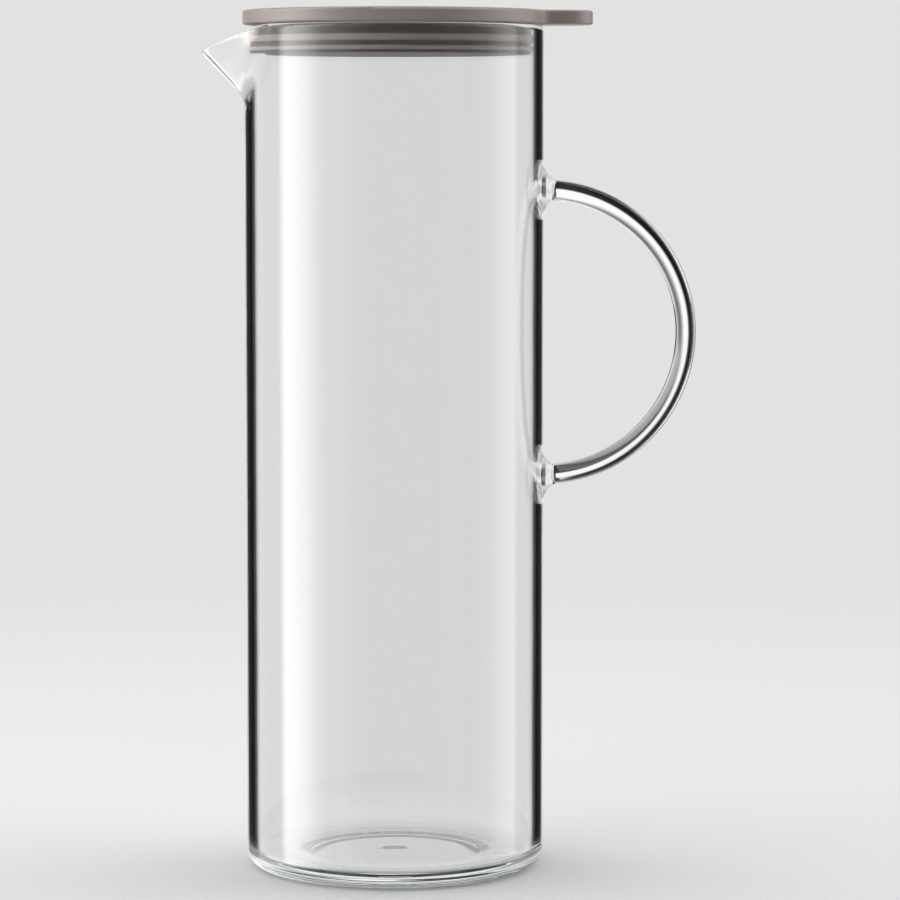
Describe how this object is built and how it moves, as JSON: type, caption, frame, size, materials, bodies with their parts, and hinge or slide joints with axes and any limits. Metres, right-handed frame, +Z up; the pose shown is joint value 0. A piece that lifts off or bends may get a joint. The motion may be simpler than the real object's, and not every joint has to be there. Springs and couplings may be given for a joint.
{
  "type": "glass jug",
  "caption": "Tall straight glass jug with a pulled spout, a ring handle of glass rod and a lift-off plug lid with silicone seals and a thumb tab.",
  "frame": {"origin": "on the body's axis, in the plane that the foot stands on", "axes": "+Z up along the body's axis, +X towards the handle, -X towards the spout, +Y away from the picture's camera"},
  "size_m": [0.1572, 0.096, 0.2732],
  "materials": {
    "clear_glass": "clear borosilicate glass, flame polished",
    "lid_plastic": "satin moulded plastic, warm taupe",
    "seal_silicone": "matt silicone, taupe like the lid"
  },
  "bodies": {
    "jug": {"glass_body": "clear_glass", "handle": "clear_glass"},
    "seals": {"seal_upper": "seal_silicone", "seal_lower": "seal_silicone"},
    "lid": {"lid_cap": "lid_plastic", "lid_plug": "lid_plastic"}
  },
  "joints": [
    {"name": "lid_lift", "type": "slide", "parent": "jug", "child": "seals", "axis": [0, 0, 1], "range_m": [0, 0.05]},
    {"name": "lid_turn", "type": "hinge", "parent": "seals", "child": "lid", "pos_m": [0, 0, 0.264], "axis": [0, 0, 1], "continuous": true}
  ]
}
